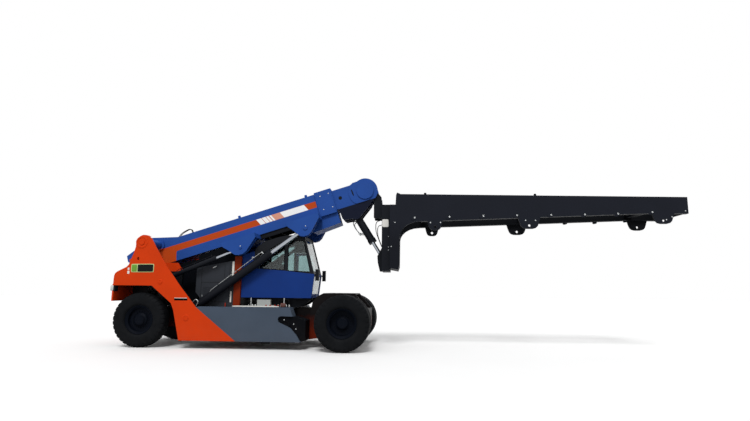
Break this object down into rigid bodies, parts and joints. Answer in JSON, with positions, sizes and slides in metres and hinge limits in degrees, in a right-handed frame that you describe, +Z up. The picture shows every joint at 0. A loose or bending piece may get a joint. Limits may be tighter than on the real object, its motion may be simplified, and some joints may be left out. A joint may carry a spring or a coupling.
{
  "type": "telehandler",
  "caption": "Heavy telescopic handler: low cab under a telescopic boom, a tilting carriage on the boom head, and a long twin-web lifting beam with sling hangers.",
  "frame": {"origin": "on the floor below the middle of the overall length and width", "axes": "+X forward towards the lifting beam, +Y to the left, +Z up"},
  "size_m": [15.0146, 3.365, 4.5738],
  "materials": {
    "orange_paint": "satin orange paint",
    "blue_paint": "satin blue paint",
    "cab_blue_paint": "satin dark blue paint",
    "grey_paint": "satin slate grey paint",
    "panel_paint": "matt dark grey paint",
    "black_paint": "satin black paint",
    "dark_iron": "painted cast iron",
    "pale_metal": "dull pale steel",
    "chrome_rod": "polished chrome",
    "tyre_rubber": "black rubber",
    "rim_paint": "satin near-black paint",
    "window_glass": "tinted glass",
    "seat_fabric": "dark woven fabric"
  },
  "bodies": {
    "chassis": {"main_frame": "orange_paint", "tower_left": "orange_paint", "tower_right": "orange_paint", "counterweight": "orange_paint", "side_tanks": "grey_paint", "axle_brackets": "dark_iron", "front_plates": "orange_paint", "deck": "black_paint", "front_axle": "black_paint", "rear_axle": "black_paint", "power_box": "panel_paint", "engine_block": "dark_iron", "cab_guard_frame": "orange_paint", "cab_shell": "cab_blue_paint", "cab_upper": "panel_paint", "cab_windows": "window_glass", "cab_mirrors": "black_paint", "valve_block": "pale_metal", "operator_seat": "seat_fabric", "steering_console": "black_paint"},
    "front_wheels_left": {"front_tyres_left": "tyre_rubber", "front_rims_left": "rim_paint"},
    "front_wheels_right": {"front_tyres_right": "tyre_rubber", "front_rims_right": "rim_paint"},
    "knuckle_left": {"knuckle_left": "black_paint"},
    "knuckle_right": {"knuckle_right": "black_paint"},
    "rear_wheel_left": {"rear_tyre_left": "tyre_rubber", "rear_rim_left": "rim_paint"},
    "rear_wheel_right": {"rear_tyre_right": "tyre_rubber", "rear_rim_right": "rim_paint"},
    "boom": {"boom_base": "blue_paint", "boom_brackets": "blue_paint"},
    "boom_extension": {"boom_extension": "blue_paint"},
    "carriage": {"carriage_frame": "black_paint", "beam_mast": "black_paint", "beam_girders": "black_paint", "sling_hangers": "black_paint"},
    "lift_barrel_pair": {"lift_barrels": "black_paint"},
    "lift_rod_pair": {"lift_rods": "chrome_rod"},
    "levelling_barrel_pair": {"levelling_barrels": "black_paint"},
    "levelling_rod_pair": {"levelling_rods": "chrome_rod"},
    "tilt_barrel_pair": {"tilt_barrels": "black_paint"},
    "tilt_rod_pair": {"tilt_rods": "chrome_rod"},
    "door": {"cab_door": "cab_blue_paint", "door_window": "window_glass"}
  },
  "joints": [
    {"name": "wheel_front_left", "type": "hinge", "parent": "chassis", "child": "front_wheels_left", "pos_m": [-1.3135, 1.062, 0.6875], "axis": [0, 1, 0], "continuous": true},
    {"name": "wheel_front_right", "type": "hinge", "parent": "chassis", "child": "front_wheels_right", "pos_m": [-1.3135, -1.062, 0.6875], "axis": [0, 1, 0], "continuous": true},
    {"name": "steer_left", "type": "hinge", "parent": "chassis", "child": "knuckle_left", "pos_m": [-6.5735, 0.8, 0.6875], "axis": [0, 0, 1], "range_deg": [-40, 40]},
    {"name": "steer_right", "type": "hinge", "parent": "chassis", "child": "knuckle_right", "pos_m": [-6.5735, -0.8, 0.6875], "axis": [0, 0, 1], "range_deg": [-40, 40]},
    {"name": "wheel_rear_left", "type": "hinge", "parent": "knuckle_left", "child": "rear_wheel_left", "pos_m": [-6.5735, 1.088, 0.6875], "axis": [0, 1, 0], "continuous": true},
    {"name": "wheel_rear_right", "type": "hinge", "parent": "knuckle_right", "child": "rear_wheel_right", "pos_m": [-6.5735, -1.088, 0.6875], "axis": [0, 1, 0], "continuous": true},
    {"name": "boom_lift", "type": "hinge", "parent": "chassis", "child": "boom", "pos_m": [-6.6135, 0, 2.67], "axis": [0, -1, 0], "range_deg": [-1, 40]},
    {"name": "boom_extend", "type": "slide", "parent": "boom", "child": "boom_extension", "axis": [0.9532, 0, 0.3024], "range_m": [0, 3.4]},
    {"name": "carriage_tilt", "type": "hinge", "parent": "boom_extension", "child": "carriage", "pos_m": [-0.88835, 0, 4.22385], "axis": [0, 1, 0], "range_deg": [-10, 20]},
    {"name": "lift_swing", "type": "hinge", "parent": "chassis", "child": "lift_barrel_pair", "pos_m": [-5.42277, 0, 0.9214], "axis": [0, -1, 0], "range_deg": [-1.36, 34.94]},
    {"name": "lift_stroke", "type": "slide", "parent": "lift_barrel_pair", "child": "lift_rod_pair", "axis": [0.8088, 0, 0.5881], "range_m": [-0.0406, 1.4302]},
    {"name": "levelling_swing", "type": "hinge", "parent": "chassis", "child": "levelling_barrel_pair", "pos_m": [-6.09344, 0, 1.761], "axis": [0, -1, 0], "range_deg": [-1.44, 37.92]},
    {"name": "levelling_stroke", "type": "slide", "parent": "levelling_barrel_pair", "child": "levelling_rod_pair", "axis": [0.9227, 0, 0.3854], "range_m": [-0.0231, 0.7289]},
    {"name": "tilt_swing", "type": "hinge", "parent": "boom_extension", "child": "tilt_barrel_pair", "pos_m": [-1.12696, 0, 3.54072], "axis": [0, -1, 0], "range_deg": [-28.97, 14.74]},
    {"name": "tilt_stroke", "type": "slide", "parent": "tilt_barrel_pair", "child": "tilt_rod_pair", "axis": [0.5303, 0, -0.8478], "range_m": [-0.1882, 0.0966]},
    {"name": "cab_door_swing", "type": "hinge", "parent": "chassis", "child": "door", "pos_m": [-2.95279, 0.637, 1.94], "axis": [0, 0, 1], "range_deg": [0, 75]}
  ],
  "couplings": [
    {"joint": "steer_right", "follows": "steer_left", "ratio": 1},
    {"joint": "lift_swing", "follows": "boom_lift", "ratio": 0.8609},
    {"joint": "lift_stroke", "follows": "boom_lift", "m_per_rad": 2.0414},
    {"joint": "levelling_swing", "follows": "boom_lift", "ratio": 0.9356},
    {"joint": "levelling_stroke", "follows": "boom_lift", "m_per_rad": 1.0369},
    {"joint": "tilt_swing", "follows": "carriage_tilt", "ratio": -1.4237},
    {"joint": "tilt_stroke", "follows": "carriage_tilt", "m_per_rad": -0.5247}
  ]
}
